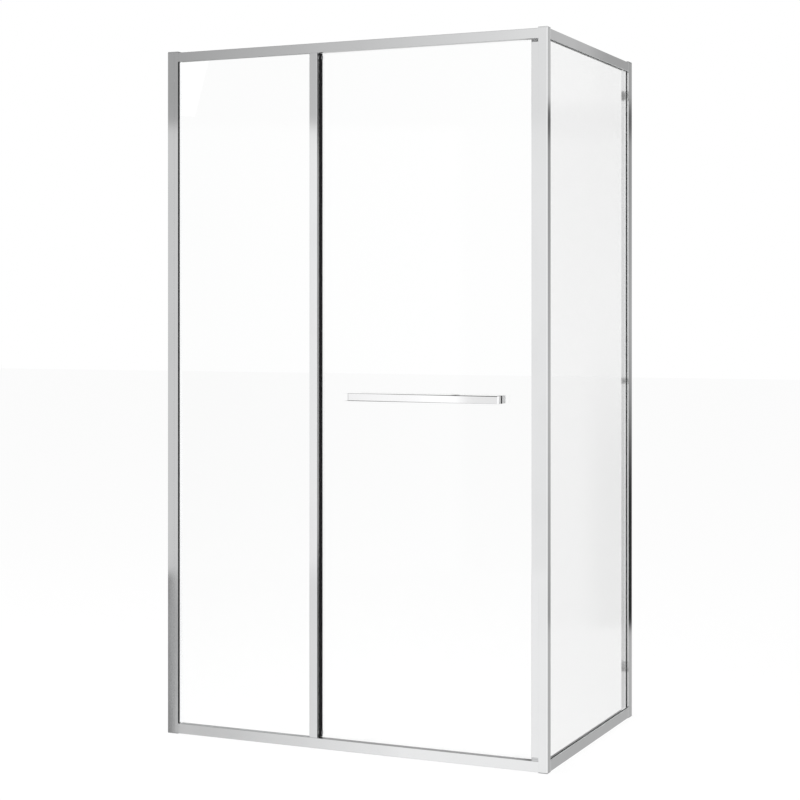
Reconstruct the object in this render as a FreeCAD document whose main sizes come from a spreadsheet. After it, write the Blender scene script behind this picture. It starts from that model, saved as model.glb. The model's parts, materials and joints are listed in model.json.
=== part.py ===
"""Framed corner shower enclosure: a front with a fixed pane and a sliding door, and a fixed side pane.

Millimetres, +Z up. The origin lies on the tray, at the middle of the corner post's foot. The front
runs along -X to the left wall, the side runs along +Y to the back wall, and +Y is inside.
"""
import FreeCAD
import Part
import os
import re

import Sketcher

doc = FreeCAD.newDocument("ShowerEnclosure")

# ---------------------------------------------------------------- driving sizes
SIZES = {
    # the whole enclosure
    "front_width": 1179, "side_depth": 773, "total_height": 2000,
    # posts and rails
    "post_size": 26, "post_wall": 2, "post_round": 1.5,
    "top_rail_face": 27, "bottom_rail_face": 29, "rail_depth": 20, "rail_wall": 2,
    "rail_drop": 3.5, "rail_lift": 1.5,
    "track_reach": 37, "track_wall": 3, "track_lip": 11, "track_lip_thick": 2, "track_lip_rise": 6,
    "rib_width": 2, "rib_rise": 2.2, "rib_inset": 6,
    "sill_lip": 13, "sill_rib_rise": 6, "sill_groove": 11,
    "mid_post_width": 24, "mid_post_depth": 20, "fixed_opening": 432,
    # wall channels and the stiles that slide into them
    "channel_width": 21, "channel_wall": 1.2, "channel_fit": 0.2,
    "stile_show": 13, "side_stile_show": 14, "stile_depth": 27, "stile_insert": 15, "stile_wall": 1.6,
    "cap_height": 3, "foot_height": 2,
    "wall_hole": 5, "wall_hole_inset": 100, "wall_hole_pitch": 600,
    # glass and its gaskets
    "glass": 6, "glass_setback": 5, "gasket": 2, "slot_depth": 12, "glass_grip": 10,
    "lip_width": 2.4, "lip_setback": 1.5, "side_lip_width": 0.4, "side_lip_setback": 0.8,
    "stile_lip_width": 0.6, "stile_lip_setback": 3,
    # sliding door
    "door_glass_setback": 28, "door_glass_rise": 18, "door_glass_top": 19,
    "door_overlap": 12, "lead_width": 22, "lead_depth": 17.4, "lead_gap": 0.6,
    "lead_grip": 12, "lead_cap": 4, "lead_head": 6, "tail_width": 12, "tail_wall": 2, "tail_grip": 9,
    "magnet": 2.3, "magnet_width": 6, "magnet_gap": 0.3, "seal_gap": 0.3,
    "fin_width": 8.5, "fin_show": 4, "clip_height": 10, "clip_drop": 6, "clip_reach": 1.5,
    "door_travel": 400, "stop_gap": 0.3, "stop_length": 15,
    # roller carriages
    "carriage_inset": 72, "carriage_length": 60, "carriage_height": 17, "carriage_plate": 4,
    "carriage_spacer": 2, "wheel_spread": 20, "wheel_radius": 7, "wheel_groove": 5.5,
    "wheel_width": 7, "wheel_play": 3, "wheel_bore_play": 0.05, "roller_gap": 0.3,
    "axle_radius": 2.5, "axle_head": 1.5, "bolt_radius": 2.5, "bolt_head_radius": 6,
    "bolt_head": 3, "nut_radius": 4.5, "nut_height": 2.6, "glass_bolt_height": 12,
    "glass_hole_play": 1.5,
    # bottom guides
    "guide_inset": 50, "guide_length": 40, "guide_wall": 4, "guide_height": 10.5,
    "guide_drop": 5, "guide_fit": 0.2, "guide_arm": 14, "guide_arm_height": 8,
    "guide_wheel_play": 0.2, "guide_wheel_height": 5, "guide_wheel_lift": 1,
    "guide_pin": 1.5, "guide_screw": 2,
    # handle
    "handle_length": 454, "handle_height": 21, "handle_thick": 12, "handle_standoff": 50,
    "handle_level": 998, "handle_leg_gap": 123, "handle_round": 5,
    "neck_start": 16, "neck_band": 10, "neck_depth": 0.8,
    "pad": 1, "disc_radius": 4.5, "disc_height": 1.6, "handle_screw": 2.5, "thread_depth": 10,
    # fixings of the frame
    "block_length": 25, "block_fit": 0.2, "screw_radius": 2, "screw_head_radius": 3.6,
    "screw_head": 1.2, "screw_length": 18, "joint_screw_inset": 150, "cover_radius": 5.5,
    "cover_height": 2.5, "drip": 4, "drip_wall": 1.5, "end_plate": 1.5, "post_clear": 0.2,
}

# ---------------------------------------------------------------- worked-out places
# Each place is worked out by the sheet itself. Names in _x, _y and _z are positions.
PLACES = {
    "front_y": "-post_size / 2",
    "side_x": "post_size / 2",
    "wall_x": "side_x - front_width",
    "wall_y": "front_y + side_depth",
    "rail_top_z": "total_height - rail_drop",
    "rail_under_z": "rail_top_z - top_rail_face",
    "sill_z": "rail_lift + bottom_rail_face",
    "post_top_z": "total_height - cap_height",
    "stile_x": "wall_x + channel_width + stile_show",
    "stile_y": "wall_y - channel_width - side_stile_show",
    "corner_x": "side_x - post_size",
    "corner_y": "front_y + post_size",
    "mid_x": "stile_x + fixed_opening",
    "mid_end_x": "mid_x + mid_post_width",
    "slot_width": "glass + 2 * gasket",
    "slot_y": "front_y + glass_setback - gasket",
    "slot_x": "side_x - glass_setback - glass - gasket",
    "rail_back_y": "front_y + rail_depth",
    "track_back_y": "rail_back_y + track_reach",
    "lip_z": "rail_under_z + track_lip_rise",
    "lip_top_z": "lip_z + track_lip_thick",
    "rib_y": "track_back_y - track_wall - rib_inset - rib_width",
    "rib_top_z": "lip_top_z + rib_rise",
    "roof_z": "rail_top_z - track_wall",
    "sill_floor_z": "rail_lift + track_wall",
    "sill_groove_y": "track_back_y - track_wall - sill_groove",
    "sill_rib_z": "sill_floor_z + sill_rib_rise",
    # door
    "door_y": "front_y + door_glass_setback",
    "door_back_y": "door_y + glass",
    "door_low_z": "rail_lift + door_glass_rise",
    "door_high_z": "rail_under_z + door_glass_top",
    "lead_end_x": "corner_x - 2 * magnet - magnet_gap",
    "lead_x": "lead_end_x - lead_width",
    "lead_y": "rail_back_y + lead_gap",
    "tail_x": "mid_x - door_overlap",
    "tail_y": "door_y - tail_wall",
    "door_glass_x": "tail_x + tail_width - tail_grip",
    "door_glass_end_x": "lead_x + lead_grip",
    "lead_low_z": "sill_floor_z + lead_cap",
    "lead_high_z": "rail_under_z - lead_head",
    # carriages
    "plate_y": "door_back_y + carriage_spacer",
    "plate_back_y": "plate_y + carriage_plate",
    "wheel_y": "plate_back_y + wheel_play",
    "wheel_z": "rib_top_z + roller_gap + wheel_groove",
    "glass_bolt_z": "rail_under_z + glass_bolt_height",
    "carriage_low_z": "lip_z",
    "carriage_left_x": "mid_x + carriage_inset",
    "carriage_right_x": "lead_end_x - carriage_inset",
    # guides
    "guide_left_x": "mid_x + guide_inset",
    "guide_right_x": "lead_end_x - guide_inset - guide_length",
    "guide_y": "door_y - guide_wall",
    "guide_z": "door_low_z - guide_drop",
    "guide_back_y": "door_back_y + guide_wall",
    "guide_wheel_y": "sill_groove_y + sill_groove / 2",
    "guide_wheel_radius": "sill_groove / 2 - guide_wheel_play",
    "guide_wheel_z": "sill_floor_z + guide_wheel_lift",
    "guide_arm_z": "guide_wheel_z + guide_wheel_height + guide_wheel_lift",
    # handle
    "handle_mid_x": "(mid_end_x + corner_x) / 2",
    "handle_x": "handle_mid_x - handle_length / 2",
    "handle_end_x": "handle_mid_x + handle_length / 2",
    "handle_y": "door_y - handle_standoff",
    "handle_z": "handle_level - handle_height / 2",
    "handle_leg_x": "handle_end_x - 2 * handle_thick - handle_leg_gap",
}


def fill_sheet(name, cells):
    sheet = doc.addObject("Spreadsheet::Sheet", name)
    for row, (alias, content) in enumerate(cells, start=1):
        sheet.set("A%d" % row, alias)
        sheet.set("B%d" % row, content)
        sheet.setAlias("B%d" % row, alias)
    return sheet


def bound(text):
    """An expression in plain names, with each name tied to its sheet."""
    def tie(match):
        word = match.group(0)
        if word in SIZES:
            return "Sizes." + word
        if word in PLACES:
            return "Places." + word
        return word
    return re.sub(r"[a-z_]+", tie, str(text))


sizes = fill_sheet("Sizes", [(name, "%g" % value) for name, value in SIZES.items()])
doc.recompute()
places = fill_sheet("Places", [])
for row, (place, rule) in enumerate(PLACES.items(), start=1):
    places.set("A%d" % row, place)
    places.set("B%d" % row, "=" + bound(rule).replace("Places.", ""))
    places.setAlias("B%d" % row, place)
doc.recompute()

PARTS = []


# ---------------------------------------------------------------- small builders
def tie_place(item, corner):
    for axis, rule in zip("xyz", corner):
        item.setExpression("Placement.Base." + axis, bound(rule))


def box(corner, size, name="Block"):
    """A block from its low corner and its three lengths."""
    item = doc.addObject("Part::Box", name)
    for side, rule in zip(("Length", "Width", "Height"), size):
        item.setExpression(side, bound(rule))
    tie_place(item, corner)
    return item


TURNS = {
    "X": FreeCAD.Rotation(FreeCAD.Vector(0, 1, 0), 90),
    "Y": FreeCAD.Rotation(FreeCAD.Vector(1, 0, 0), -90),
    "Z": FreeCAD.Rotation(),
}


def rod(start, radius, length, axis, name="Rod"):
    """A cylinder from the middle of its first end, along +X, +Y or +Z."""
    item = doc.addObject("Part::Cylinder", name)
    item.setExpression("Radius", bound(radius))
    item.setExpression("Height", bound(length))
    item.Placement = FreeCAD.Placement(FreeCAD.Vector(), TURNS[axis])
    tie_place(item, start)
    return item


def joined(items, name="Join"):
    if len(items) == 1:
        return items[0]
    item = doc.addObject("Part::MultiFuse", name)
    item.Shapes = items
    return item


def group(items, name="Group"):
    """Separate solids that share one node."""
    item = doc.addObject("Part::Compound", name)
    item.Links = items
    return item


def less(base, tools, name="Less"):
    item = doc.addObject("Part::Cut", name)
    item.Base = base
    item.Tool = joined(tools)
    return item


def keep(item, label):
    """Name a finished sub-part, which is written to its own file."""
    item.Label = label
    PARTS.append(item)
    return item


def span(low, high):
    return "(%s) - (%s)" % (high, low)


def turned(label, centre, outline, axis):
    """A round piece: an outline of (radius, height) points, turned about its own axis."""
    body = doc.addObject("PartDesign::Body", "Body")
    sketch = body.newObject("Sketcher::SketchObject", "Outline")
    planes = {plane.Role: plane for plane in body.Origin.OriginFeatures}
    sketch.AttachmentSupport = [(planes["XZ_Plane"], "")]
    sketch.MapMode = "FlatFace"
    corners = [[places.evalExpression(bound(value)) for value in point] for point in outline]
    corners = [FreeCAD.Vector(float(radius), float(height), 0) for radius, height in corners]
    count = len(corners)
    for index in range(count):
        edge = Part.LineSegment(corners[index], corners[(index + 1) % count])
        sketch.addGeometry(edge, False)
    for index in range(count):
        sketch.addConstraint(Sketcher.Constraint("Coincident", index, 2, (index + 1) % count, 1))
    for index, point in enumerate(outline):
        for kind, value, rule in zip(("DistanceX", "DistanceY"), corners[index], point):
            if str(rule) == "0":
                line = -1 if kind == "DistanceY" else -2
                sketch.addConstraint(Sketcher.Constraint("PointOnObject", index, 1, line))
                continue
            at = sketch.addConstraint(Sketcher.Constraint(kind, -1, 1, index, 1, value))
            sketch.setExpression("Constraints[%d]" % at, bound(rule))
    turn = body.newObject("PartDesign::Revolution", "Turn")
    turn.Profile = sketch
    turn.ReferenceAxis = (sketch, ["V_Axis"])
    turn.Angle = 360
    body.Tip = turn
    body.Placement = FreeCAD.Placement(FreeCAD.Vector(), TURNS[axis])
    tie_place(body, centre)
    return keep(body, label)


# ---------------------------------------------------------------- wall channels and stiles
WALL_HOLES = range(4)


def wall_hole(side, index):
    height = "wall_hole_inset + %d * wall_hole_pitch" % index
    if side == "left":
        middle = "front_y + stile_depth / 2"
        return rod(("wall_x - 1", middle, height), "wall_hole / 2", "channel_wall + 2", "X")
    middle = "side_x - stile_depth / 2"
    return rod((middle, "wall_y - channel_wall - 1", height), "wall_hole / 2", "channel_wall + 2", "Y")


CHANNEL_ROOM = "(stile_depth - 2 * channel_wall)"
STEP = "(channel_wall + channel_fit)"
TONGUE_DEPTH = "(stile_depth - 2 * channel_wall - 2 * channel_fit)"
TUBE_HEIGHT = "post_top_z - foot_height"


def joint_screws(side):
    """Three screws hold the stile in its wall channel, driven from inside the enclosure."""
    found = []
    levels = ("joint_screw_inset", "total_height / 2", "total_height - joint_screw_inset")
    for level in levels:
        reach = "channel_wall + channel_fit + stile_wall"
        if side == "left":
            along = "wall_x + channel_width - stile_insert / 2"
            flange = "front_y + stile_depth - stile_wall - " + STEP
            start, head, axis = (along, flange, level), (along, flange + " + " + reach, level), "Y"
            stem = rod(start, "screw_radius", reach, axis)
            top = rod(head, "screw_head_radius", "screw_head", axis)
        else:
            along = "wall_y - channel_width + stile_insert / 2"
            flange = "side_x - stile_depth + stile_wall + " + STEP
            stem = rod((flange + " - (" + reach + ")", along, level), "screw_radius", reach, "X")
            top = rod((flange + " - (" + reach + ") - screw_head", along, level),
                      "screw_head_radius", "screw_head", "X")
        found.append((stem, top, level))
    return found


def wall_side(side):
    """One wall channel, the stile whose tongue slides into it, and their joint screws.

    The stile's front part is as deep as the channel, so the two stand flush with a fine seam.
    """
    fixings = joint_screws(side)
    stems = [stem for stem, top, level in fixings]
    high = TUBE_HEIGHT + " + 2"
    if side == "left":
        outer = box(("wall_x", "front_y", "foot_height"), ("channel_width", "stile_depth", TUBE_HEIGHT))
        room = box(("wall_x + channel_wall", "front_y + channel_wall", "foot_height - 1"),
                   ("channel_width", CHANNEL_ROOM, high))
        front = box(("wall_x + channel_width + channel_fit", "front_y", "foot_height"),
                    ("stile_show - channel_fit", "stile_depth", TUBE_HEIGHT))
        start = "wall_x + channel_width - stile_insert"
        tongue = box((start, "front_y + " + STEP, "foot_height"),
                     ("stile_insert + channel_fit + 1", TONGUE_DEPTH, TUBE_HEIGHT))
        hollow = box((start + " + stile_wall", "front_y + stile_wall + " + STEP, "foot_height - 1"),
                     ("stile_insert + stile_show - slot_depth - 2 * stile_wall",
                      TONGUE_DEPTH + " - 2 * stile_wall", high))
        slot = box(("stile_x - slot_depth", "slot_y", "sill_z - slot_depth"),
                   ("slot_depth + 1", "slot_width", "rail_under_z - sill_z + 2 * slot_depth"))
    else:
        outer = box(("side_x - stile_depth", "wall_y - channel_width", "foot_height"),
                    ("stile_depth", "channel_width", TUBE_HEIGHT))
        room = box(("side_x - stile_depth + channel_wall", "wall_y - channel_width - 1",
                    "foot_height - 1"), (CHANNEL_ROOM, "channel_width + 1 - channel_wall", high))
        front = box(("side_x - stile_depth", "stile_y", "foot_height"),
                    ("stile_depth", "side_stile_show - channel_fit", TUBE_HEIGHT))
        tongue = box(("side_x - stile_depth + " + STEP, "stile_y + side_stile_show - channel_fit - 1",
                      "foot_height"),
                     (TONGUE_DEPTH, "stile_insert + channel_fit + 1", TUBE_HEIGHT))
        hollow = box(("side_x - stile_depth + stile_wall + " + STEP,
                      "stile_y + slot_depth + stile_wall", "foot_height - 1"),
                     (TONGUE_DEPTH + " - 2 * stile_wall",
                      "stile_insert + side_stile_show - slot_depth - 2 * stile_wall", high))
        slot = box(("slot_x", "stile_y - 1", "sill_z - slot_depth"),
                   ("slot_width", "slot_depth + 1", "rail_under_z - sill_z + 2 * slot_depth"))
    holes = [wall_hole(side, index) for index in WALL_HOLES]
    keep(less(outer, [room] + holes + stems), side + "_wall_channel")
    rails = [screw for name, screw, block in FRAME_FIXINGS if name == side]
    keep(less(joined([front, tongue]), [hollow, slot] + stems + rails), side + "_wall_stile")
    keep(group([joined([stem, top]) for stem, top, level in fixings]), side + "_joint_screws")


def joint_covers():
    """Round snap-on covers over the joint screws' heads."""
    covers = []
    for side in ("left", "side"):
        for stem, top, level in joint_screws(side):
            if side == "left":
                face = "front_y + stile_depth"
                along = "wall_x + channel_width - stile_insert / 2"
                shell = rod((along, face, level), "cover_radius", "cover_height", "Y")
            else:
                face = "side_x - stile_depth - cover_height"
                along = "wall_y - channel_width + stile_insert / 2"
                shell = rod((face, along, level), "cover_radius", "cover_height", "X")
            covers.append(less(shell, [top]))
    keep(group(covers), "joint_screw_covers")


def wall_caps():
    """Flat caps and feet that close the wall channels and stiles."""
    for label, low, height in (("wall_post_caps", "post_top_z", "cap_height"),
                               ("wall_post_feet", "0", "foot_height")):
        left = box(("wall_x", "front_y", low), ("channel_width + stile_show", "stile_depth", height))
        side = box(("side_x - stile_depth", "stile_y", low),
                   ("stile_depth", "channel_width + side_stile_show", height))
        keep(group([left, side]), label)


# ---------------------------------------------------------------- corner blocks and screws
def frame_fixings():
    """Each rail end holds a block, and a screw through the post's wall draws the post to it.

    Gives (post, screw, block) for the eight rail ends.
    """
    found = []
    room = "rail_depth - 2 * rail_wall - 2 * block_fit"
    levels = (("bottom_rail_face", "rail_lift + rail_wall + block_fit"),
              ("top_rail_face", "rail_under_z + slot_depth + rail_wall + block_fit"))
    for rail, low in levels:
        tall = rail + " - slot_depth - 2 * rail_wall - 2 * block_fit"
        level = low + " + (" + tall + ") / 2"
        middle_y = "front_y + rail_depth / 2"
        middle_x = "side_x - rail_depth / 2"
        reach = "screw_length"
        ends = (
            ("left", "stile_x", 1, "X", "stile_x - slot_depth"),
            ("corner", "corner_x", -1, "X", "corner_x + post_wall"),
            ("corner", "corner_y", 1, "Y", "corner_y - post_wall"),
            ("side", "stile_y", -1, "Y", "stile_y + slot_depth"),
        )
        for post, face, way, axis, head in ends:
            start = face if way > 0 else face + " - block_length"
            stem_start = head if way > 0 else face + " - " + reach
            stem_long = span(head, face + " + " + reach) if way > 0 else \
                span(face + " - " + reach, head)
            head_start = head + " - screw_head" if way > 0 else head
            if axis == "X":
                block = box((start, "front_y + rail_wall + block_fit", low), ("block_length", room, tall))
                stem = rod((stem_start, middle_y, level), "screw_radius", stem_long, axis)
                top = rod((head_start, middle_y, level), "screw_head_radius", "screw_head", axis)
            else:
                block = box(("side_x - rail_depth + rail_wall + block_fit", start, low),
                            (room, "block_length", tall))
                stem = rod((middle_x, stem_start, level), "screw_radius", stem_long, axis)
                top = rod((middle_x, head_start, level), "screw_head_radius", "screw_head", axis)
            screw = joined([stem, top])
            found.append((post, screw, less(block, [screw])))
    return found


FRAME_FIXINGS = frame_fixings()
keep(group([block for post, screw, block in FRAME_FIXINGS]), "corner_blocks")
keep(group([screw for post, screw, block in FRAME_FIXINGS]), "frame_screws")
for wall in ("left", "side"):
    wall_side(wall)
joint_covers()
wall_caps()


# ---------------------------------------------------------------- corner post
def corner_post():
    """A square tube, its outer edge rounded, slotted for the side pane."""
    body = doc.addObject("PartDesign::Body", "Post")
    square = body.newObject("PartDesign::AdditiveBox", "Square")
    square.setExpression("Length", bound("post_size"))
    square.setExpression("Width", bound("post_size"))
    square.setExpression("Height", bound(TUBE_HEIGHT))
    doc.recompute()
    size = float(places.evalExpression(bound("post_size")))
    edges = []
    for index, edge in enumerate(square.Shape.Edges, start=1):
        middle = edge.CenterOfMass
        if edge.BoundBox.ZLength > size and abs(middle.x - size) + abs(middle.y) < size * 0.1:
            edges.append("Edge%d" % index)
    soft = body.newObject("PartDesign::Fillet", "SoftEdge")
    soft.Base = (square, edges)
    soft.setExpression("Radius", bound("post_round"))
    body.Tip = soft
    tie_place(body, ("corner_x", "front_y", "foot_height"))
    bore = box(("corner_x + post_wall", "front_y + post_wall", "foot_height - 1"),
               ("post_size - 2 * post_wall", "post_size - slot_depth - 2 * post_wall",
                TUBE_HEIGHT + " + 2"))
    slot = box(("slot_x", "corner_y - slot_depth", "sill_z - slot_depth"),
               ("slot_width", "slot_depth + 1", "rail_under_z - sill_z + 2 * slot_depth"))
    relief = [box(("slot_x", "corner_y - slot_depth", low), ("slot_width", "slot_depth - post_wall", high))
              for low, high in (("foot_height - 1", "sill_z - slot_depth"),
                                ("rail_under_z + slot_depth", "post_top_z - rail_under_z"))]
    screws = [screw for post, screw, block in FRAME_FIXINGS if post == "corner"]
    keep(less(body, [bore, slot] + relief + screws), "corner_post")
    for label, low, height in (("corner_post_cap", "post_top_z", "cap_height"),
                               ("corner_post_foot", "0", "foot_height")):
        keep(box(("corner_x", "front_y", low), ("post_size", "post_size", height)), label)


corner_post()


# ---------------------------------------------------------------- rails
def front_rail(label, top):
    """A hollow rail with a glass slot, and the door's track or sill behind it."""
    low, tall = ("rail_under_z", "top_rail_face") if top else ("rail_lift", "bottom_rail_face")
    along = span("stile_x", "corner_x")
    adds = [box(("stile_x", "front_y", low), (along, "rail_depth", tall))]
    slot_low = low + " - 1" if top else "sill_z - slot_depth"
    room_low = low + " + slot_depth + rail_wall" if top else low + " + rail_wall"
    cuts = [
        box(("stile_x - 1", "slot_y", slot_low), (along + " + 2", "slot_width", "slot_depth + 1")),
        box(("stile_x - 1", "front_y + rail_wall", room_low),
            (along + " + 2", "rail_depth - 2 * rail_wall", tall + " - slot_depth - 2 * rail_wall")),
    ]
    wall_y = "track_back_y - track_wall"
    if top:
        adds += [
            box(("stile_x", "rail_back_y", "roof_z"), (along, "track_reach", "track_wall")),
            box(("stile_x", wall_y, "lip_z"), (along, "track_wall", "rail_top_z - lip_z")),
            box(("stile_x", wall_y + " - track_lip", "lip_z"), (along, "track_lip", "track_lip_thick")),
            box(("stile_x", "rib_y", "lip_top_z"), (along, "rib_width", "rib_rise")),
        ]
    else:
        adds += [
            box(("stile_x", "rail_back_y", low), (along, "track_reach", "track_wall")),
            box(("stile_x", wall_y, low), (along, "track_wall", "sill_lip")),
            box(("stile_x", "sill_groove_y - rib_width", "sill_floor_z"),
                (along, "rib_width", "sill_rib_rise")),
        ]
    keep(less(joined(adds), cuts), label)


def side_rail(label, top):
    low, tall = ("rail_under_z", "top_rail_face") if top else ("rail_lift", "bottom_rail_face")
    along = span("corner_y", "stile_y")
    slot_low = low + " - 1" if top else "sill_z - slot_depth"
    room_low = low + " + slot_depth + rail_wall" if top else low + " + rail_wall"
    bar = box(("side_x - rail_depth", "corner_y", low), ("rail_depth", along, tall))
    cuts = [
        box(("slot_x", "corner_y - 1", slot_low), ("slot_width", along + " + 2", "slot_depth + 1")),
        box(("side_x - rail_depth + rail_wall", "corner_y - 1", room_low),
            ("rail_depth - 2 * rail_wall", along + " + 2", tall + " - slot_depth - 2 * rail_wall")),
    ]
    keep(less(bar, cuts), label)


front_rail("front_top_rail", True)
front_rail("front_bottom_rail", False)
side_rail("side_top_rail", True)
side_rail("side_bottom_rail", False)


def slot_covers():
    """Strips that close the glass slots along the door's side of the front."""
    along = span("mid_end_x", "corner_x")
    for label, low in (("top_slot_cover", "rail_under_z"), ("bottom_slot_cover", "sill_z - slot_depth")):
        keep(box(("mid_end_x", "slot_y", low), (along, "slot_width", "slot_depth")), label)


def end_plates():
    """Plates that close both ends of the track and of the sill."""
    plates = {"track_end_plates": ("lip_z", "rail_top_z - lip_z"),
              "sill_end_plates": ("rail_lift", "sill_lip")}
    for label, (low, height) in plates.items():
        left_y = "front_y + stile_depth + post_clear"
        left = box(("stile_x - end_plate", left_y, low), ("end_plate", span(left_y, "track_back_y"), height))
        right_y = "corner_y + post_clear"
        right = box(("corner_x", right_y, low), ("end_plate", span(right_y, "track_back_y"), height))
        keep(group([left, right]), label)


slot_covers()
end_plates()


# ---------------------------------------------------------------- fixed pane, side pane, mid post
def mid_post():
    """The post that ends the fixed pane, with a soft fin behind it that wipes the door."""
    tall = "rail_under_z - sill_z"
    bar = box(("mid_x", "front_y", "sill_z"), ("mid_post_width", "mid_post_depth", tall))
    slot = box(("mid_x - 1", "slot_y", "sill_z - 1"), ("slot_depth + 1", "slot_width", tall + " + 2"))
    bore = box(("mid_x + slot_depth + post_wall", "front_y + post_wall", "sill_z - 1"),
               ("mid_post_width - slot_depth - 2 * post_wall", "mid_post_depth - 2 * post_wall",
                tall + " + 2"))
    keep(less(bar, [slot, bore]), "mid_post")
    back = "front_y + mid_post_depth"
    deep = span(back, "door_y - seal_gap")
    fin = box(("mid_end_x + fin_show - fin_width", back, "sill_z"), ("fin_width", deep, tall))
    keep(fin, "mid_post_fin_seal")
    clips = [box(("mid_end_x + fin_show", back, low), ("clip_reach", deep, "clip_height"))
             for low in ("sill_z + clip_drop", "rail_under_z - clip_drop - clip_height")]
    keep(group(clips), "fin_seal_clips")


def pane(label, corner, size, sight, sight_size, lips):
    """A pane and the soft gasket round its edge, which fills the slots and laps on to the glass."""
    glass = box(corner, size)
    keep(glass, label)
    lows, highs = [], []
    for low, length in zip(corner, size):
        lows.append(low)
        highs.append("(%s) + (%s)" % (low, length))
    grow = ["slot_depth - glass_grip" if axis in (0, 2) else "gasket" for axis in range(3)]
    if label == "side_glass":
        grow = ["gasket", "slot_depth - glass_grip", "slot_depth - glass_grip"]
    outer = box(["(%s) - (%s)" % (low, more) for low, more in zip(lows, grow)],
                ["(%s) + 2 * (%s)" % (length, more) for length, more in zip(size, grow)])
    ring = less(outer, [box(sight, sight_size), box(corner, size)])
    keep(joined([ring] + lips), label + "_gasket")


def panes():
    tall = "rail_under_z - sill_z"
    lap = "glass_setback - lip_setback"
    side_lap = "glass_setback - side_lip_setback"
    long = span("corner_y", "stile_y")
    face_x = "side_x - glass_setback"
    front_lips = [box(("stile_x", "front_y + lip_setback", "sill_z"), ("lip_width", lap, tall))]
    side_lips = [box((face_x, "corner_y", "rail_under_z - side_lip_width"),
                     (side_lap, long, "side_lip_width")),
                 box((face_x, "corner_y", "sill_z"), (side_lap, long, "side_lip_width")),
                 box((face_x, "stile_y - stile_lip_width", "sill_z"),
                     ("glass_setback - stile_lip_setback", "stile_lip_width", tall))]
    pane("fixed_glass",
         ("stile_x - glass_grip", "front_y + glass_setback", "sill_z - glass_grip"),
         ("fixed_opening + 2 * glass_grip", "glass", tall + " + 2 * glass_grip"),
         ("stile_x", "front_y", "sill_z"),
         ("fixed_opening", "rail_depth", tall), front_lips)
    pane("side_glass",
         ("side_x - glass_setback - glass", "corner_y - glass_grip", "sill_z - glass_grip"),
         ("glass", long + " + 2 * glass_grip", tall + " + 2 * glass_grip"),
         ("side_x - rail_depth", "corner_y", "sill_z"),
         ("rail_depth", long, tall), side_lips)


mid_post()
panes()


# ---------------------------------------------------------------- sliding door
CARRIAGES = ("carriage_left_x", "carriage_right_x")
GUIDES = {"left": "guide_left_x", "right": "guide_right_x"}
LEGS = ("handle_leg_x", "handle_end_x - handle_thick")


def leg_middle(leg):
    return leg + " + handle_thick / 2"


def door_holes():
    """The holes through the door's pane for the carriages, the guides and the handle."""
    start, through = "door_y - 1", "glass + 2"
    holes = [rod((middle, start, "glass_bolt_z"), "bolt_radius + glass_hole_play", through, "Y")
             for middle in CARRIAGES]
    holes += [rod((leg_middle(leg), start, "handle_level"), "handle_screw + glass_hole_play",
                  through, "Y") for leg in LEGS]
    return holes


def door_frame():
    glass = box(("door_glass_x", "door_y", "door_low_z"),
                (span("door_glass_x", "door_glass_end_x"), "glass", span("door_low_z", "door_high_z")))
    keep(less(glass, door_holes()), "door_glass")
    tall = span("lead_low_z", "lead_high_z")
    bar = box(("lead_x", "lead_y", "lead_low_z"), ("lead_width", "lead_depth", tall))
    slot = box(("lead_x - 1", "door_y", "lead_low_z - 1"), ("lead_grip + 1", "glass", tall + " + 2"))
    bore = box(("lead_x + lead_grip + post_wall", "lead_y + post_wall", "lead_low_z - 1"),
               ("lead_width - lead_grip - 2 * post_wall", "lead_depth - 2 * post_wall", tall + " + 2"))
    keep(less(bar, [slot, bore]), "door_lead_stile")
    foot = box(("lead_x", "lead_y", "lead_low_z - lead_cap + post_clear"),
               ("lead_width", "lead_depth", "lead_cap - post_clear"))
    head = less(box(("lead_x", "lead_y", "lead_high_z"),
                    ("lead_width", "lead_depth", span("lead_high_z", "door_high_z + lead_cap - post_clear"))),
                [box(("lead_x - 1", "door_y", "lead_high_z - 1"),
                     ("lead_grip + 1", "glass", span("lead_high_z", "door_high_z") + " + 1"))])
    keep(group([foot, head]), "door_stile_caps")
    strip = box(("lead_end_x", "lead_y", "lead_low_z"), ("magnet", "magnet_width", tall))
    keep(strip, "door_magnet_strip")
    post_strip = box(("corner_x - magnet", "lead_y", "sill_z"),
                     ("magnet", "magnet_width", "rail_under_z - sill_z"))
    keep(post_strip, "post_magnet_strip")
    tail_tall = span("door_low_z", "door_high_z")
    tail = box(("tail_x", "tail_y", "door_low_z"), ("tail_width", "glass + 2 * tail_wall", tail_tall))
    grip = box(("door_glass_x", "door_y", "door_low_z - 1"), ("tail_grip + 1", "glass", tail_tall + " + 2"))
    keep(less(tail, [grip]), "door_tail_profile")


def drip_seal():
    """A clip-on strip under the pane, between the two guides."""
    start = "guide_left_x + guide_length"
    along = span(start, "guide_right_x")
    strip = box((start, "door_y - drip_wall", "sill_floor_z + seal_gap"),
                (along, "glass + 2 * drip_wall", "door_low_z + drip - sill_floor_z - seal_gap"))
    pane_room = box((start + " - 1", "door_y", "door_low_z"), (along + " + 2", "glass", "drip + 1"))
    under = box((start + " - 1", "door_y", "sill_floor_z"),
                (along + " + 2", "glass + drip_wall + 1", "door_low_z - drip_wall - sill_floor_z"))
    keep(less(strip, [pane_room, under]), "door_drip_seal")


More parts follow.
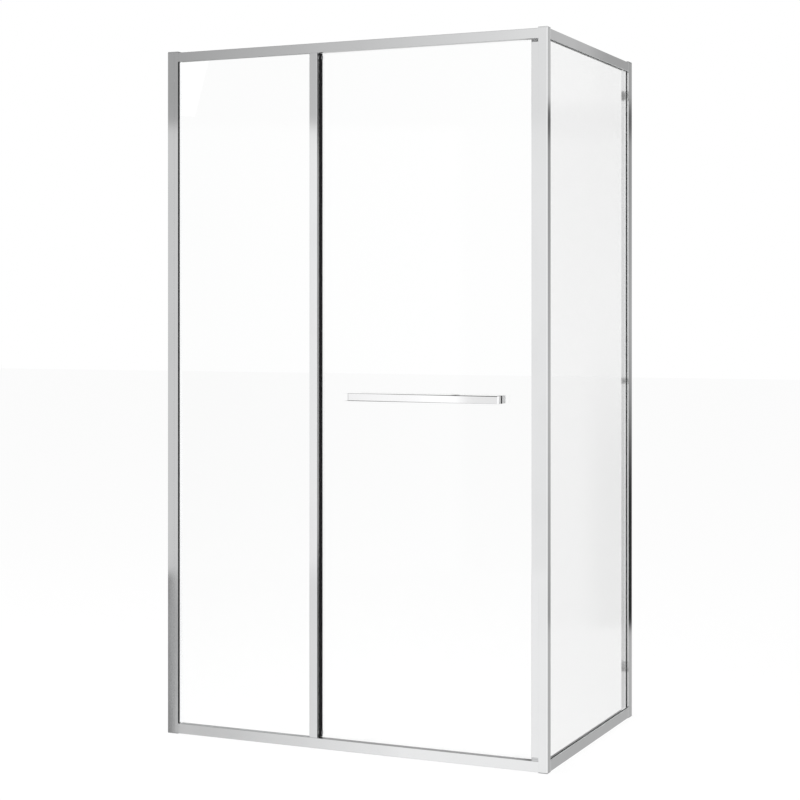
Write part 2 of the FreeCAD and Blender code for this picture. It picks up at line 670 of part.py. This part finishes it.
def carriages():
    """Two plates behind the pane, each with two grooved wheels that ride on the track's rib."""
    plates, bolts, spacers, nuts, axles = [], [], [], [], []
    number = 0
    for middle in CARRIAGES:
        plate = box((middle + " - carriage_length / 2", "plate_y", "carriage_low_z"),
                    ("carriage_length", "carriage_plate", "carriage_height"))
        clamp = "glass + carriage_spacer + carriage_plate + nut_height"
        stem = rod((middle, "door_y", "glass_bolt_z"), "bolt_radius", clamp, "Y")
        head = rod((middle, "door_y - bolt_head", "glass_bolt_z"), "bolt_head_radius", "bolt_head", "Y")
        bolts.append(joined([stem, head]))
        spacer = rod((middle, "door_back_y", "glass_bolt_z"), "bolt_head_radius", "carriage_spacer", "Y")
        spacers.append(less(spacer, [stem]))
        nut = rod((middle, "plate_back_y", "glass_bolt_z"), "nut_radius", "nut_height", "Y")
        nuts.append(less(nut, [stem]))
        holes = [stem]
        for way in ("-", "+"):
            number += 1
            at = middle + " " + way + " wheel_spread"
            pin_long = "carriage_plate + wheel_play + wheel_width"
            pin = rod((at, "plate_y", "wheel_z"), "axle_radius", pin_long, "Y")
            pin_head = rod((at, "wheel_y + wheel_width", "wheel_z"), "axle_radius + axle_head",
                           "axle_head", "Y")
            collar = rod((at, "plate_back_y", "wheel_z"), "axle_radius + axle_head",
                         "wheel_play - post_clear", "Y")
            axles.append(joined([pin, pin_head, collar]))
            holes.append(pin)
            wheel(number, at)
        plates.append(less(plate, holes))
    keep(group(plates), "carriage_plates")
    keep(group(bolts), "carriage_bolts")
    keep(group(spacers), "carriage_spacers")
    keep(group(nuts), "carriage_nuts")
    keep(group(axles), "wheel_axles")


def wheel(number, at):
    """A grooved wheel. Its width leaves a little play between the collar and the axle's head."""
    half = "(wheel_width / 2)"
    rim = "(wheel_width - post_clear)"
    bore = "axle_radius + wheel_bore_play"
    groove = "(rib_width / 2 + roller_gap)"
    flare = "(wheel_radius - wheel_groove)"
    outline = [
        (bore, "post_clear"), ("wheel_radius", "post_clear"),
        ("wheel_radius", "%s - %s - %s" % (half, groove, flare)), ("wheel_groove", "%s - %s" % (half, groove)),
        ("wheel_groove", "%s + %s" % (half, groove)), ("wheel_radius", "%s + %s + %s" % (half, groove, flare)),
        ("wheel_radius", rim), (bore, rim),
    ]
    turned("roller_wheel_%d" % number, (at, "wheel_y", "wheel_z"), outline, "Y")


def guides():
    """Two guides under the pane: a clip on the glass, and a sprung foot with a small wheel."""
    clips, screws = [], []
    for side, start in GUIDES.items():
        middle = start + " + guide_length / 2"
        deep = "glass + 2 * guide_wall"
        clip = box((start, "guide_y", "guide_z"), ("guide_length", deep, "guide_height"))
        room = box((start + " - 1", "door_y", "door_low_z"),
                   ("guide_length + 2", "glass", "guide_height + 1"))
        foot_high = span("guide_arm_z", "door_low_z + guide_height - guide_drop")
        foot = [
            box((middle + " - guide_arm / 2", "guide_back_y + guide_fit", "guide_arm_z"),
                ("guide_arm", "guide_wall", foot_high)),
            box((middle + " - guide_arm / 2", "guide_back_y + guide_fit", "guide_arm_z"),
                ("guide_arm", "guide_wheel_y + guide_wheel_radius - guide_back_y - guide_fit",
                 "guide_wall")),
            rod((middle, "guide_wheel_y", "guide_wheel_z - guide_wheel_lift / 2"), "guide_pin",
                "guide_arm_z - guide_wheel_z + guide_wheel_lift", "Z"),
        ]
        keep(joined(foot), "guide_foot_" + side)
        clips.append(less(clip, [room]))
        for way in ("-", "+"):
            at = middle + " " + way + " guide_length / 3"
            level = "door_low_z + (guide_height - guide_drop) / 2"
            grub = rod((at, "guide_y", level), "guide_screw", "guide_wall", "Y")
            clips[-1] = less(clips[-1], [grub])
            screws.append(grub)
        outline = [
            ("guide_pin + wheel_bore_play", "0"), ("guide_wheel_radius", "0"),
            ("guide_wheel_radius", "guide_wheel_height"),
            ("guide_pin + wheel_bore_play", "guide_wheel_height"),
        ]
        turned("guide_wheel_" + side, (middle, "guide_wheel_y", "guide_wheel_z"), outline, "Z")
    keep(group(clips), "guide_clips")
    keep(group(screws), "guide_screws")


def stops():
    """Rubber stops in the track, where the outer wheels end their travel."""
    left_end = "carriage_left_x - wheel_spread - wheel_radius - door_travel - stop_gap"
    right_end = "carriage_right_x + wheel_spread + wheel_radius + stop_gap"
    blocks = [box((start, "wheel_y", "rib_top_z"),
                  ("stop_length", span("wheel_y", "track_back_y - track_wall"), span("rib_top_z", "roof_z")))
              for start in (left_end + " - stop_length", right_end)]
    keep(group(blocks), "track_stops")


def handle():
    """A flat bar handle, its end turned back to the glass, with a second leg inboard."""
    reach = span("handle_y", "door_y - pad")
    bar = box(("handle_x", "handle_y", "handle_z"), ("handle_length", "handle_thick", "handle_height"))
    legs = [box((leg, "handle_y", "handle_z"), ("handle_thick", reach, "handle_height")) for leg in LEGS]
    screws = []
    stem_start = "door_y - pad - thread_depth"
    stem_long = "thread_depth + pad + glass + disc_height / 2"
    for leg in LEGS:
        stem = rod((leg_middle(leg), stem_start, "handle_level"), "handle_screw", stem_long, "Y")
        screws.append(stem)
    whole = joined([bar] + legs)
    doc.recompute()
    soft = doc.addObject("Part::Fillet", "SoftHandle")
    soft.Base = whole
    radius = float(places.evalExpression(bound("handle_round")))
    soft.Edges = [(index, radius, radius) for index in upright_edges(whole)]
    rings = [neck_ring(leg) for leg in LEGS]
    keep(less(soft, screws + rings), "handle")
    keep(group(rings), "handle_neck_rings")
    pads = [less(box((leg, "door_y - pad", "handle_z"), ("handle_thick", "pad", "handle_height")), [stem])
            for leg, stem in zip(LEGS, screws)]
    keep(group(pads), "handle_pads")
    keep(group(screws), "handle_screws")
    discs = [less(rod((leg_middle(leg), "door_back_y", "handle_level"), "disc_radius", "disc_height", "Y"),
                  [stem]) for leg, stem in zip(LEGS, screws)]
    keep(group(discs), "handle_inner_discs")


def neck_ring(leg):
    """A dark band let into a leg, flush with its four sides."""
    start = "handle_y + neck_start"
    outer = box((leg, start, "handle_z"), ("handle_thick", "neck_band", "handle_height"))
    inner = box((leg + " + neck_depth", start + " - 1", "handle_z + neck_depth"),
                ("handle_thick - 2 * neck_depth", "neck_band + 2", "handle_height - 2 * neck_depth"))
    return less(outer, [inner])


def upright_edges(item):
    """The numbers of the bar's outer upright edges, at its front corners."""
    box_of = item.Shape.BoundBox
    found = []
    for index, edge in enumerate(item.Shape.Edges, start=1):
        middle = edge.CenterOfMass
        upright = abs(edge.BoundBox.ZLength - box_of.ZLength) < 0.01
        at_end = abs(middle.x - box_of.XMin) < 0.01 or abs(middle.x - box_of.XMax) < 0.01
        if upright and at_end and abs(middle.y - box_of.YMin) < 0.01:
            found.append(index)
    return found


door_frame()
drip_seal()
carriages()
guides()
stops()
handle()


# ---------------------------------------------------------------- check and write
def write_parts():
    doc.recompute()
    for item in doc.Objects:
        if "Invalid" in item.State or "Error" in item.State:
            raise RuntimeError("failed: %s %s" % (item.Name, item.Label))
    os.makedirs("parts", exist_ok=True)
    for item in PARTS:
        shape = item.Shape
        if shape.isNull() or not shape.isValid():
            raise RuntimeError("bad shape: " + item.Label)
        shape.exportStep("parts/%s.step" % item.Label)
        print("%-22s %2d solids %12.1f mm3" % (item.Label, len(shape.Solids), shape.Volume))
    print(len(PARTS), "parts")


write_parts()
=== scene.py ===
# %% [markdown]
# # A framed shower enclosure with a sliding door
# The frame of the enclosure, its panes, rollers and handle arrive at their real size and place.
# This lesson gives them their finish: drawn and polished metal, toughened glass, soft black
# seals and moulded plastic. It ends with a plain studio. Lengths are in metres.

# %% Load the enclosure
import json
import math
import bmesh
import bpy
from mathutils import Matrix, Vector


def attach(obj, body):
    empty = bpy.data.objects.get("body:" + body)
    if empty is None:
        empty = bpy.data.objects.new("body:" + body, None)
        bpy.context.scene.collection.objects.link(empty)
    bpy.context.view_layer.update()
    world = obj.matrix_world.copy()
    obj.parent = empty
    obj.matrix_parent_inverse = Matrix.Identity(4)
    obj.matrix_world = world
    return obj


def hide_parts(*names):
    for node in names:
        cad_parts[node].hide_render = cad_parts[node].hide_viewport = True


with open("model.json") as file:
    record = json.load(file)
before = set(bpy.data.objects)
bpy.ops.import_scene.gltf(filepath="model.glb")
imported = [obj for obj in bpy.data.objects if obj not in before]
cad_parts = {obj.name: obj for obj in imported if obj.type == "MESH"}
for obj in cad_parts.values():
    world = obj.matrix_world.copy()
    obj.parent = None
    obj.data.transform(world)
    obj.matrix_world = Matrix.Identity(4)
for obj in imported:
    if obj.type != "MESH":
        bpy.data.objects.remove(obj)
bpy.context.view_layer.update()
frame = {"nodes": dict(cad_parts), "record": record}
BODY_OF = {node: body for body, nodes in frame["record"]["behaviour"]["bodies"].items()
           for node in nodes}
MM = 0.001

# %% [markdown]
# ## Camera
# The picture was taken at about chest height with a long lens, held level, so upright edges
# stay parallel. A level camera keeps them so, and a small vertical shift frames the lower half.

# %% Camera
EYE = Vector((1.6299, -4.5863, 1.2259))
TURN_LEFT = math.radians(24.13)
camera = bpy.data.objects.new("camera", bpy.data.cameras.new("camera"))
bpy.context.scene.collection.objects.link(camera)
camera.location = EYE
camera.rotation_euler = (math.pi / 2, 0, TURN_LEFT)
camera.data.sensor_width = 36
camera.data.lens = 81.4
camera.data.shift_y = -0.1056
camera.data.clip_end = 100
bpy.context.scene.camera = camera
print("camera", tuple(EYE), "lens", camera.data.lens)

# %% [markdown]
# ## Shader sums as plain expressions
# A finish is a sum of masks and noises. Wrapping each socket in a small class lets a material
# read like arithmetic: `0.05 + 0.04 * smudge` adds the two Math nodes that it needs.

# %% Wrapped sockets
class Flow:
    """One value that runs through a material's nodes."""

    def __init__(self, sheet, socket):
        self.sheet, self.socket = sheet, socket

    def math(self, operation, *others, clamp=False):
        node = self.sheet.tree.nodes.new("ShaderNodeMath")
        node.operation, node.use_clamp = operation, clamp
        for index, value in enumerate((self,) + others):
            self.sheet.feed(node.inputs[index], value)
        return Flow(self.sheet, node.outputs[0])

    def __add__(self, other):
        return self.math("ADD", other)

    __radd__ = __add__

    def __sub__(self, other):
        return self.math("SUBTRACT", other)

    def __rsub__(self, other):
        return (self * -1).math("ADD", other)

    def __mul__(self, other):
        return self.math("MULTIPLY", other)

    __rmul__ = __mul__

    def __gt__(self, other):
        return self.math("GREATER_THAN", other)

    def clipped(self):
        return self.math("ADD", 0, clamp=True)

    def smooth(self, low, high):
        """0 below low, 1 above high, with a soft step between."""
        made = self.sheet.add("ShaderNodeMapRange", {"interpolation_type": "SMOOTHSTEP"},
                              {"Value": self, "From Min": low, "From Max": high})
        return made["Result"]


class Sheet:
    """The nodes of one material or of the world."""

    def __init__(self, owner):
        owner.use_nodes = True
        self.owner, self.tree = owner, owner.node_tree
        self.tree.nodes.clear()

    def feed(self, socket, value):
        if isinstance(value, Flow):
            self.tree.links.new(value.socket, socket)
        elif hasattr(value, "links"):
            self.tree.links.new(value, socket)
        elif isinstance(value, (tuple, list)) and socket.type == "RGBA":
            socket.default_value = (*value, 1.0)[:4]
        else:
            socket.default_value = value

    def add(self, kind, settings=None, sockets=None):
        """Any node: its settings first, then its sockets. Gives its outputs by name."""
        node = self.tree.nodes.new(kind)
        for name, value in (settings or {}).items():
            setattr(node, name, value)
        for name, value in (sockets or {}).items():
            self.feed(node.inputs[name], value)
        return {output.name: Flow(self, output) for output in node.outputs if output.enabled}

    def mix(self, factor, first, second):
        """A colour between two colours."""
        node = self.tree.nodes.new("ShaderNodeMix")
        node.data_type = "RGBA"
        self.feed(node.inputs["Factor"], factor)
        colours = [socket for socket in node.inputs if socket.type == "RGBA"]
        self.feed(colours[0], first)
        self.feed(colours[1], second)
        made = [socket for socket in node.outputs if socket.type == "RGBA"][0]
        return Flow(self, made)

    def place(self, stretch=(1, 1, 1)):
        """The point on the piece, in metres, scaled along each axis."""
        where = self.add("ShaderNodeTexCoord")["Object"]
        scaled = self.add("ShaderNodeVectorMath", {"operation": "MULTIPLY"}, {0: where, 1: stretch})
        return scaled["Vector"]

    def noise(self, scale, stretch=(1, 1, 1), detail=3.0, roughness=0.5):
        made = self.add("ShaderNodeTexNoise", {}, {
            "Vector": self.place(stretch), "Scale": scale, "Detail": detail,
            "Roughness": roughness})
        return made["Fac"] if "Fac" in made else made["Factor"]

    def bump(self, height, strength, distance):
        made = self.add("ShaderNodeBump", {}, {"Height": height, "Strength": strength,
                                               "Distance": distance})
        return made["Normal"]

    def blend_shaders(self, factor, first, second):
        node = self.tree.nodes.new("ShaderNodeMixShader")
        for index, value in enumerate((factor, first, second)):
            self.feed(node.inputs[index], value)
        return Flow(self, node.outputs[0])

    def rays(self):
        """The light path, whether a ray left metal, and whether the eye meets this directly."""
        path = self.add("ShaderNodeLightPath")
        seen = (path["Is Camera Ray"] + path["Is Transmission Ray"]).clipped()
        return path, path["Glossy Depth"] > 0.5, seen

    def surface(self, shader):
        output = self.tree.nodes.new("ShaderNodeOutputMaterial")
        self.feed(output.inputs["Surface"], shader)
        return self.owner


def new_sheet(name):
    return Sheet(bpy.data.materials.new(name))


print("expression helpers ready")

# %% [markdown]
# ## Bright metal
# The frame is drawn aluminium with a mirror finish. Drawing leaves very fine lines along the
# bar, so the noise that drives the roughness and the bump is stretched along that axis, and a
# slow noise adds the faint cloudiness of a wiped surface.

# %% Bright drawn metal
ALONG = {"x": (1, 60, 60), "y": (60, 1, 60), "z": (60, 60, 1)}


def bright_metal(name, along, tint=(0.905, 0.91, 0.915)):
    sheet = new_sheet(name)
    drawn = sheet.noise(14, ALONG[along], detail=2.0)
    cloud = sheet.noise(5, detail=4.0)
    speck = sheet.noise(900, detail=1.0)
    wiped = cloud.smooth(0.42, 0.68)
    worn = tuple(0.965 * value for value in tint)
    shader = sheet.add("ShaderNodeBsdfPrincipled", {}, {
        "Base Color": sheet.mix(wiped * 0.6, tint, worn),
        "Metallic": 1.0,
        "Roughness": 0.025 + wiped * 0.03 + drawn * 0.025,
        "Normal": sheet.bump(drawn * 0.9 + speck * 0.1, 0.012, 0.0002),
    })
    return sheet.surface(shader["BSDF"])


FRAME_METAL = {along: bright_metal("bright_frame_" + along, along) for along in ALONG}
HANDLE_METAL = bright_metal("polished_handle", "x", (0.93, 0.93, 0.935))
print("bright metals:", sorted(FRAME_METAL), HANDLE_METAL.name)

# %% [markdown]
# ## Toughened glass
# A clear pane is nearly nothing but its reflections and its greenish edge. Principled glass
# gives both. Light that comes through for a shadow would need caustics, so a shadow ray simply
# passes, and the enclosure keeps a light shadow as a real one does.

# %% Clear glass
def clear_glass(name, thin):
    """thin is the axis across the pane. Faces that don't look that way are the ground edges."""
    sheet = new_sheet(name)
    facing = sheet.add("ShaderNodeNewGeometry")["Normal"]
    parts = sheet.add("ShaderNodeSeparateXYZ", {}, {"Vector": facing})
    edge = 1 - parts[thin].math("ABSOLUTE").smooth(0.5, 0.9)
    marks = sheet.noise(260, detail=2.0).smooth(0.7, 0.76) * sheet.noise(2.2).smooth(0.55, 0.7)
    pane = sheet.add("ShaderNodeBsdfPrincipled", {}, {
        "Base Color": sheet.mix(edge, (0.997, 0.999, 0.998), (0.52, 0.8, 0.7)),
        "Roughness": edge * 0.25 + marks * 0.02,
        "IOR": 1.5,
        "Specular IOR Level": 0.08,
        "Transmission Weight": 1.0,
    })
    open_way = sheet.add("ShaderNodeBsdfTransparent", {}, {"Color": (0.97, 0.985, 0.98)})
    shadow = sheet.add("ShaderNodeLightPath")["Is Shadow Ray"]
    return sheet.surface(sheet.blend_shaders(shadow, pane["BSDF"], open_way["BSDF"]))


FRONT_GLASS = clear_glass("clear_front_glass", "Y")
SIDE_GLASS = clear_glass("clear_side_glass", "X")
print("glass:", FRONT_GLASS.name, SIDE_GLASS.name)

# %% [markdown]
# ## Seals, plastic and steel
# Extruded rubber is satin with a fine grain. Moulded plastic has a light texture from its
# mould. Plated screws show small roughness changes where they were tumbled. All of them are
# one recipe with other numbers.

# %% Moulded, extruded and plated finishes
def plain_finish(name, colour, rough, grain, depth, metal=0.0, drift=0.12, specular=0.5):
    sheet = new_sheet(name)
    fine = sheet.noise(grain, detail=3.0)
    slow = sheet.noise(18, detail=2.0)
    darker = tuple(value * (1 - drift) for value in colour)
    shader = sheet.add("ShaderNodeBsdfPrincipled", {}, {
        "Base Color": sheet.mix(slow.smooth(0.35, 0.7), colour, darker),
        "Metallic": metal,
        "Roughness": rough + fine * 0.12,
        "Specular IOR Level": specular,
        "Normal": sheet.bump(fine, depth, 0.0003),
    })
    return sheet.surface(shader["BSDF"])


BLACK_SEAL = plain_finish("black_rubber_seal", (0.009, 0.009, 0.01), 0.55, 1400, 0.25, specular=0.2)
SOFT_CLEAR = plain_finish("soft_clear_vinyl", (0.62, 0.65, 0.65), 0.2, 600, 0.1)
GREY_PLASTIC = plain_finish("grey_moulded_plastic", (0.33, 0.335, 0.34), 0.38, 1800, 0.2)
NYLON = plain_finish("white_nylon", (0.82, 0.82, 0.79), 0.3, 1500, 0.1)
PALE_PLASTIC = plain_finish("pale_moulded_cap", (0.5, 0.505, 0.51), 0.38, 1800, 0.2)
STEEL = plain_finish("plated_steel", (0.6, 0.6, 0.61), 0.16, 900, 0.08, metal=1.0, drift=0.08)


def two_tone_gasket(name, start, end):
    """A gasket of two rubbers: black up to X = start, and clear from X = end."""
    sheet = new_sheet(name)
    across = sheet.add("ShaderNodeSeparateXYZ", {}, {"Vector": sheet.place()})["X"]
    fine = sheet.noise(1200, detail=2.0)
    clear_part = across.smooth(start, end)
    shader = sheet.add("ShaderNodeBsdfPrincipled", {}, {
        "Base Color": sheet.mix(clear_part, (0.009, 0.009, 0.01), (0.72, 0.74, 0.74)),
        "Roughness": 0.4 + fine * 0.15,
        "Specular IOR Level": 0.3,
        "Normal": sheet.bump(fine, 0.2, 0.0003),
    })
    return sheet.surface(shader["BSDF"])


FRONT_GASKET = two_tone_gasket("front_gasket_black_by_the_wall", -1.13, -1.126)
SIDE_GASKET = two_tone_gasket("side_gasket_clear_outside", 0.0094, 0.0098)
print("finishes:", [item.name for item in (BLACK_SEAL, SOFT_CLEAR, GREY_PLASTIC, PALE_PLASTIC,
                                           NYLON, STEEL, FRONT_GASKET, SIDE_GASKET)])

# %% [markdown]
# ## Softened edges
# Nothing on the real enclosure has a knife edge: an extrusion leaves its die with a small
# radius, and that radius is what catches a thin line of light. Each piece is copied, its flat
# faces are made whole again, and a bevel of the real radius goes round its sharp edges.

# %% Copy a piece with rounded edges
SHARP = math.radians(35)
FLAT = math.radians(0.5)
WELD = 0.001 * MM
LONG_EDGE = 100 * MM


def softened(node, material, radius, steps=3, *, smooth=False, short=1.0):
    """radius is in mm, and short is the share of it that edges under LONG_EDGE get. It is below 1
    only for the handle, whose short edges leave no room for the full radius."""
    source = frame["nodes"][node]
    mesh = source.data.copy()
    mesh.name = node + "_finish"
    shape = bmesh.new()
    shape.from_mesh(mesh)
    bmesh.ops.remove_doubles(shape, verts=shape.verts, dist=WELD)
    bmesh.ops.dissolve_limit(shape, angle_limit=FLAT, verts=shape.verts, edges=shape.edges)
    weight = shape.edges.layers.float.new("bevel_weight_edge")
    for edge in shape.edges:
        sharp = len(edge.link_faces) == 2 and edge.calc_face_angle() > SHARP
        edge[weight] = (1.0 if edge.calc_length() > LONG_EDGE else short) if sharp else 0.0
    shape.to_mesh(mesh)
    shape.free()
    mesh.materials.clear()
    mesh.materials.append(material)
    piece = bpy.data.objects.new(node + "_finish", mesh)
    bpy.context.scene.collection.objects.link(piece)
    bevel = piece.modifiers.new("edge", "BEVEL")
    bevel.width = radius * MM
    bevel.segments = steps
    bevel.loop_slide = False
    bevel.limit_method = "ANGLE" if short == 1.0 else "WEIGHT"
    bevel.angle_limit = SHARP
    bevel.use_clamp_overlap = short == 1.0
    bevel.harden_normals = smooth
    for face in mesh.polygons:
        face.use_smooth = smooth
    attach(piece, BODY_OF[node])
    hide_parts(node)


print("pieces ready to finish:", len(frame["nodes"]))

# %% [markdown]
# ## The frame's bars
# Posts stand along Z and rails lie along X or Y, so each takes the metal drawn along its own
# length. Their edges have a radius of 0.6 mm, the mid post's 1 mm and the thin wall channels'
# 0.25 mm.

# %% Posts and rails
BARS = {
    "left_wall_channel": "z", "side_wall_channel": "z", "left_wall_stile": "z",
    "side_wall_stile": "z", "corner_post": "z", "corner_post_cap": "x", "mid_post": "z",
    "front_top_rail": "x", "front_bottom_rail": "x", "side_top_rail": "y",
    "side_bottom_rail": "y", "top_slot_cover": "x", "bottom_slot_cover": "x",
    "door_lead_stile": "z", "door_tail_profile": "z",
}
BAR_RADIUS = 0.6
OTHER_RADIUS = {"mid_post": 1.0, "left_wall_channel": 0.25, "side_wall_channel": 0.25}
for node, along in BARS.items():
    softened(node, FRAME_METAL[along], OTHER_RADIUS.get(node, BAR_RADIUS))
print("bars:", len(BARS))

# %% Handle
softened("handle", HANDLE_METAL, 2.0, 8, short=0.15)
softened("handle_inner_discs", HANDLE_METAL, 1.6, 5)
softened("handle_neck_rings", BLACK_SEAL, 0.2, 2)
print("handle finished")

# %% Panes
PANES = {"fixed_glass": FRONT_GLASS, "door_glass": FRONT_GLASS, "side_glass": SIDE_GLASS}
for node, material in PANES.items():
    softened(node, material, 0.7, 2)
print("panes:", sorted(PANES))

# %% Seals, caps, screws and rollers
SMALL = [
    ("black_rubber", BLACK_SEAL, 0.3, ["mid_post_fin_seal", "post_magnet_strip",
                                       "door_magnet_strip", "track_stops"]),
    ("black_rubber", FRONT_GASKET, 0.3, ["fixed_glass_gasket"]),
    ("black_rubber", SIDE_GASKET, 0.15, ["side_glass_gasket"]),
    ("clear_vinyl", SOFT_CLEAR, 0.3, ["door_drip_seal", "handle_pads"]),
    ("grey_plastic", GREY_PLASTIC, 0.5, [
        "wall_post_caps", "wall_post_feet", "corner_post_foot", "corner_blocks", "track_end_plates",
        "sill_end_plates", "joint_screw_covers", "fin_seal_clips", "guide_clips",
        "guide_foot_left", "guide_foot_right"]),
    ("grey_plastic", PALE_PLASTIC, 0.5, ["door_stile_caps"]),
    ("white_nylon", NYLON, 0.25, [
        "roller_wheel_1", "roller_wheel_2", "roller_wheel_3", "roller_wheel_4",
        "guide_wheel_left", "guide_wheel_right", "carriage_spacers"]),
    ("steel", STEEL, 0.3, [
        "frame_screws", "left_joint_screws", "side_joint_screws", "carriage_plates",
        "carriage_bolts", "carriage_nuts", "wheel_axles", "handle_screws", "guide_screws"]),
]
TURNED = ("wheel", "screws", "bolts", "nuts", "axles", "spacers", "covers")
for slot, material, radius, nodes in SMALL:
    for node in nodes:
        softened(node, material, radius, 2, smooth=any(word in node for word in TURNED))
    print(material.name, len(nodes))

# %% [markdown]
# ## Floor
# A plain white floor. For the eye it is held close to white, and a fifth of it is lit as a
# matt surface, so the enclosure's own soft shadow stays on it. Polished metal would show a
# mirror image of a floor this bright. A ray that leaves the metal therefore passes the floor
# and meets the studio's own lower half, which is a floor of a quieter tone.

# %% Floor
def white_floor():
    sheet = new_sheet("white_floor")
    grain = sheet.noise(30, detail=2.0)
    matt = sheet.add("ShaderNodeBsdfPrincipled", {}, {
        "Base Color": sheet.mix(grain, (0.93, 0.93, 0.93), (0.9, 0.9, 0.9)), "Roughness": 0.75,
        "Specular IOR Level": 0.1})
    white = sheet.add("ShaderNodeEmission", {}, {"Color": (1, 1, 1), "Strength": 1.09})
    open_way = sheet.add("ShaderNodeBsdfTransparent", {}, {"Color": (1, 1, 1)})
    _, from_metal, seen = sheet.rays()
    ground = sheet.blend_shaders(seen * 0.8, matt["BSDF"], white["Emission"])
    return sheet.surface(sheet.blend_shaders(from_metal, ground, open_way["BSDF"]))


HALF_FLOOR = 30
floor_mesh = bpy.data.meshes.new("floor")
corners = [(-HALF_FLOOR, -HALF_FLOOR, 0), (HALF_FLOOR, -HALF_FLOOR, 0),
           (HALF_FLOOR, HALF_FLOOR, 0), (-HALF_FLOOR, HALF_FLOOR, 0)]
floor_mesh.from_pydata(corners, [], [(0, 1, 2, 3)])
floor_mesh.materials.append(white_floor())
floor = bpy.data.objects.new("floor", floor_mesh)
bpy.context.scene.collection.objects.link(floor)
print("floor", 2 * HALF_FLOOR, "m")

# %% [markdown]
# ## Studio light
# Polished metal shows the room, so the room is what is designed here. The eye sees white
# behind the glass, and the metal sees large cards, set so that it reads as it does in
# the picture. In front hangs a pale panel, brightest towards the right, with a ceiling band
# above it and a floor band below. At the side stands a grey wall with a thin dark edge up high
# and a dark card low down. Behind is a grey card with a dark upright strip. Angles are in
# degrees: `left` and `right` go round, `rise` goes up.

# %% Studio cards
METAL = 0.905
DEGREES = 180 / math.pi
PANEL_BOTTOM, PANEL_TOP = -8.05, 5.95
PANEL_RIGHT, PANEL_BRIGHT = 18.4, 22.2
FLOOR_GREY, FLOOR_DARK = 30.6, 31.26
WALL_FLOOR, WALL_CEILING = -9.7, 6.6
INNER_START, INNER_END, WHITE_START = 23, 25.5, 29.5
REAR_END, REAR_STRIP = 8.0, 17.1


def studio():
    world = bpy.data.worlds.new("studio")
    bpy.context.scene.world = world
    sheet = Sheet(world)
    towards = sheet.add("ShaderNodeTexCoord")["Generated"]
    aim = sheet.add("ShaderNodeSeparateXYZ", {}, {"Vector": towards})
    rise = aim["Z"].math("ARCSINE") * DEGREES
    left = (aim["X"] * -1).math("ARCTAN2", aim["Y"] * -1) * DEGREES
    right = aim["X"].math("ARCTAN2", aim["Y"]) * DEGREES

    def step(value, at, soft=0.25):
        return value.smooth(at - soft, at + soft)

    def over(below, above, share):
        return below + (above - below) * share

    fading = (1.0 - 0.052 * (left - 23)).math("MAXIMUM", 0.42)
    panel = over(0.77, fading, step(left, PANEL_BRIGHT, 0.3))
    panel = over(panel, 0.86, left.smooth(36, 44))
    ceiling = (0.70 - 0.0316 * (left - 20)).math("MAXIMUM", 0.2)
    ground = (0.81 - 0.046 * (left - 24)).math("MINIMUM", 0.81).math("MAXIMUM", 0.25)
    ground = over(ground, 0.54, step(left, FLOOR_GREY, 0.3))
    ground = over(ground, 0.17, step(left, FLOOR_DARK, 0.03))
    front = over(ground, panel, step(rise, PANEL_BOTTOM))
    front = over(front, ceiling, step(rise, PANEL_TOP))
    far_right = over(1.0, (0.655 + 0.014 * rise), step(left, 13.0, 1.5))
    front = over(far_right, front, step(left, PANEL_RIGHT, 0.4))

    wall = (0.44 - 0.02 * (rise + 2.7).math("ABSOLUTE")).math("MAXIMUM", 0.3)
    wall = over(wall, 0.41, 1 - step(rise, WALL_FLOOR, 0.3))
    wall = over(wall, over(0.34, 0.47, step(right, 18.0, 0.3)), step(rise, WALL_CEILING, 0.3))
    edge = (rise - 6.1).math("ABSOLUTE").smooth(0.9, 0.1)
    wall = wall * (1 - 0.55 * edge)
    card = step(rise, WALL_FLOOR, 0.15) * (1 - rise.smooth(-6.0, 0.5))
    card = card * (1 - right.smooth(17.6, 18.6))
    wall = wall * (1 - 0.93 * card)
    inner = over(0.035, 0.24, (rise + 1.0).math("ABSOLUTE").smooth(7.4, 5.5))
    side = over(wall, inner, right.smooth(INNER_START, INNER_END))
    side = over(side, 1.0, step(right, WHITE_START, 0.5))
    rear = over(0.36, 0.52, rise.smooth(-2, 2) * -1 + 1)
    rear = over(0.02, rear, (right + REAR_STRIP).math("ABSOLUTE").smooth(2.6, 3.4))
    side = over(rear, side, step(right, REAR_END, 4.0))

    value = over(side, front, (aim["Y"] * -1).smooth(-0.15, 0.25))
    value = over(value, 0.04, rise.smooth(18, 40)) * (1 / METAL)
    path, from_metal, seen = sheet.rays()
    plain = over(0.55, 1.0, seen)
    off_glass = path["Is Reflection Ray"] * path["Is Singular Ray"]
    level = over(over(plain, value, from_metal), 0.97, off_glass)
    background = sheet.add("ShaderNodeBackground", {}, {"Color": (1, 1, 1), "Strength": level})
    output = sheet.tree.nodes.new("ShaderNodeOutputWorld")
    sheet.feed(output.inputs["Surface"], background["Background"])


def soft_lamp(name, place, aim, size, power):
    lamp = bpy.data.lights.new(name, "AREA")
    lamp.shape, lamp.size, lamp.energy = "SQUARE", size, power
    thing = bpy.data.objects.new(name, lamp)
    bpy.context.scene.collection.objects.link(thing)
    thing.location = place
    thing.rotation_euler = (Vector(aim) - Vector(place)).to_track_quat("-Z", "Y").to_euler()
    thing.visible_glossy = False
    thing.visible_camera = False


studio()
soft_lamp("key", (2.0, -3.5, 4.5), (-0.5, 0.3, 0.8), 3.0, 90)
soft_lamp("fill", (-3.5, -2.0, 3.5), (-0.5, 0.3, 0.8), 3.0, 45)
bpy.context.scene.view_settings.view_transform = "Standard"
print("studio ready")
